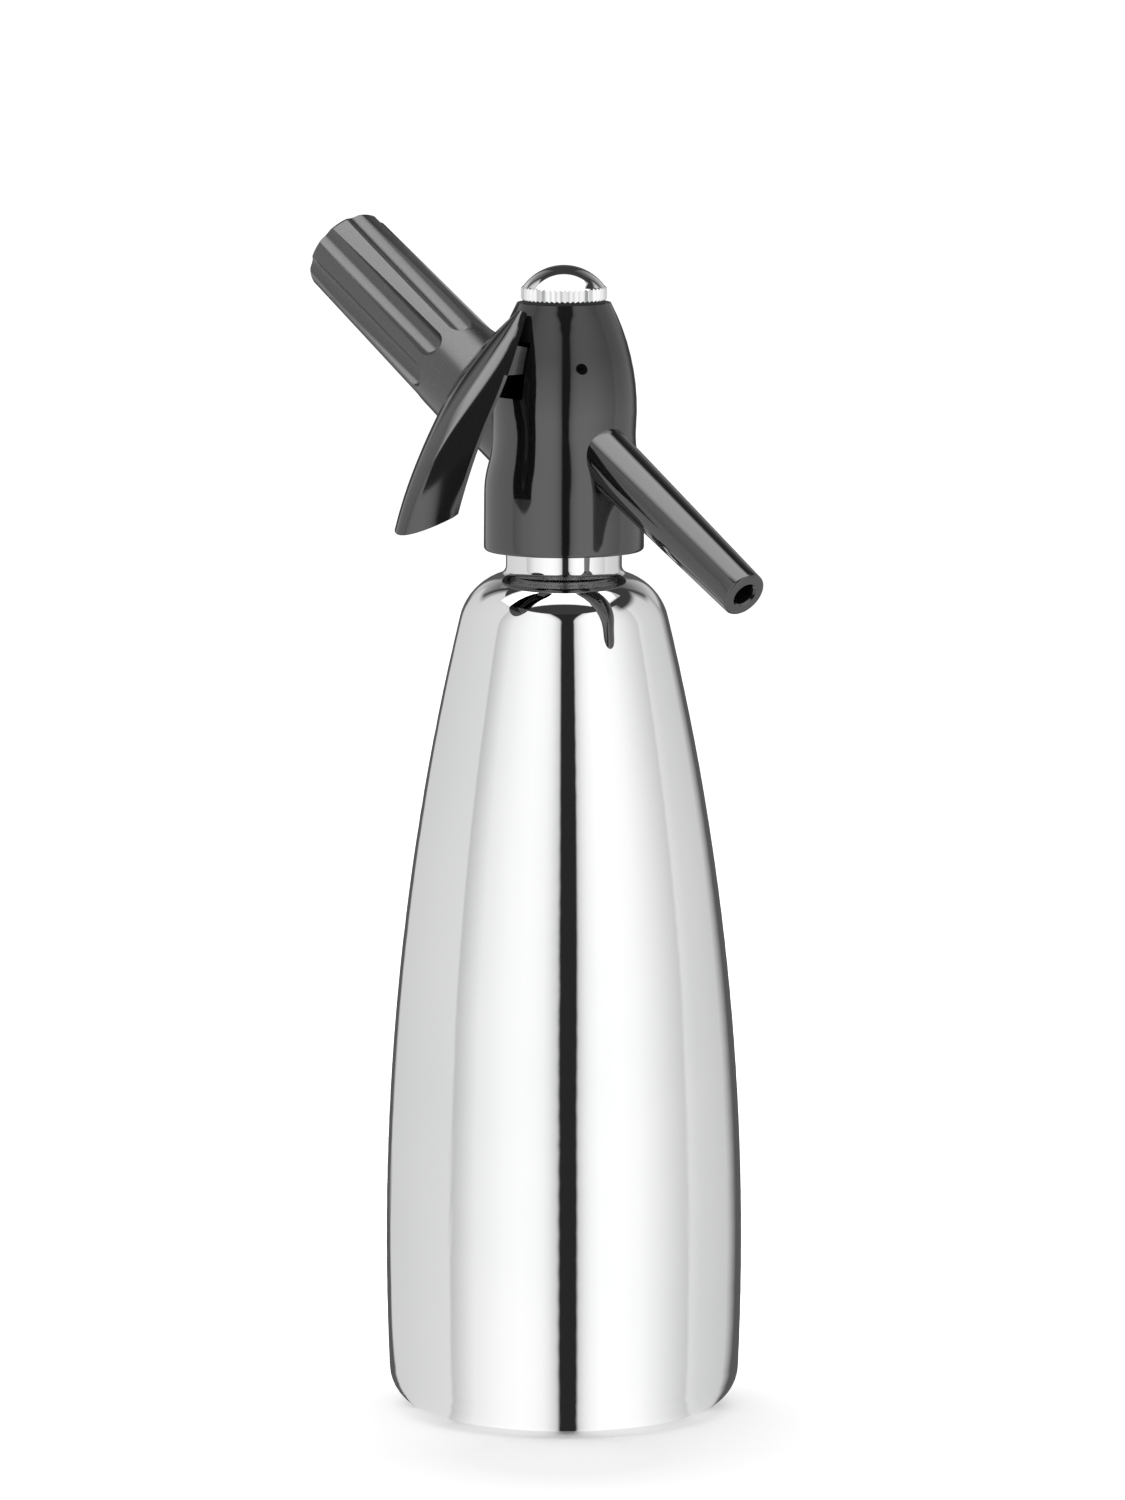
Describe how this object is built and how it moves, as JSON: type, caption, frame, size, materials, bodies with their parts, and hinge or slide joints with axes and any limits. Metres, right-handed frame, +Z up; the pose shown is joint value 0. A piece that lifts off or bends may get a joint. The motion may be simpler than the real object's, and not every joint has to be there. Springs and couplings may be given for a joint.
{
  "type": "soda siphon",
  "caption": "Polished steel soda siphon bottle with a glossy black head, squeeze lever, down-turned spout, fluted gas charger holder and knurled top cap.",
  "frame": {"origin": "centre of the base ring on the table plane, on the bottle axis", "axes": "+Z up along the bottle axis, +X towards the pouring spout, charger holder towards -X"},
  "size_m": [0.1792, 0.1097, 0.3314],
  "materials": {
    "polished_steel": "mirror polished",
    "cap_chrome": "bright plated",
    "gloss_black": "glossy",
    "satin_black": "satin",
    "pale_plastic": "smooth, milky",
    "seal_rubber": "matt",
    "brass": "turned",
    "plain_steel": "turned",
    "dark_steel": "blackened"
  },
  "bodies": {
    "bottle_body": {"bottle": "polished_steel", "measuring_tube": "pale_plastic"},
    "riser_body": {"riser_tube": "pale_plastic", "riser_seal": "seal_rubber", "head_gasket": "seal_rubber"},
    "head_body": {"head_housing": "gloss_black", "neck_insert": "plain_steel", "valve_body": "brass", "riser_nipple": "brass", "check_valve": "seal_rubber", "spindle_guide": "brass", "stem_seal": "seal_rubber", "valve_spring": "plain_steel", "lever_pin": "dark_steel", "spout": "gloss_black", "spout_seal": "seal_rubber", "charger_socket": "brass", "piercing_pin": "plain_steel", "charger_seal": "seal_rubber"},
    "spindle_body": {"valve_spindle": "plain_steel", "valve_seal": "seal_rubber"},
    "lever_body": {"lever": "gloss_black"},
    "charger_body": {"gas_charger": "plain_steel"},
    "holder_body": {"charger_holder": "satin_black"},
    "cap_seal_body": {"cap_seal": "seal_rubber"},
    "cap_body": {"valve_cap": "cap_chrome"}
  },
  "joints": [
    {"name": "head_lift", "type": "slide", "parent": "bottle_body", "child": "riser_body", "axis": [0, 0, 1], "range_m": [0, 0.012]},
    {"name": "head_turn", "type": "hinge", "parent": "riser_body", "child": "head_body", "pos_m": [0, 0, 0.25], "axis": [0, 0, 1], "range_deg": [0, 1080]},
    {"name": "lever_press", "type": "hinge", "parent": "head_body", "child": "lever_body", "pos_m": [0, -0.00835, 0.29501], "axis": [1, 0, 0], "range_deg": [0, 16], "stiffness_Nm_per_rad": 0.15, "springref_deg": -28.65},
    {"name": "spindle_lift", "type": "slide", "parent": "head_body", "child": "spindle_body", "axis": [0, 0, 1], "range_m": [0, 0.00286], "deforming": ["valve_spring"]},
    {"name": "charger_slide", "type": "slide", "parent": "head_body", "child": "charger_body", "axis": [-0.8572, 0, 0.515], "range_m": [0, 0.01]},
    {"name": "holder_turn", "type": "hinge", "parent": "charger_body", "child": "holder_body", "pos_m": [0, 0, 0.26391], "axis": [-0.8572, 0, 0.515], "range_deg": [0, 1800]},
    {"name": "cap_lift", "type": "slide", "parent": "head_body", "child": "cap_seal_body", "axis": [0, 0, 1], "range_m": [0, 0.006]},
    {"name": "cap_turn", "type": "hinge", "parent": "cap_seal_body", "child": "cap_body", "pos_m": [0, 0, 0.315], "axis": [0, 0, 1], "range_deg": [0, 1440]}
  ],
  "couplings": [
    {"joint": "head_lift", "follows": "head_turn", "m_per_rad": 0.000636},
    {"joint": "spindle_lift", "follows": "lever_press", "m_per_rad": 0.0102},
    {"joint": "charger_slide", "follows": "holder_turn", "m_per_rad": 0.000318},
    {"joint": "cap_lift", "follows": "cap_turn", "m_per_rad": 0.000238}
  ]
}
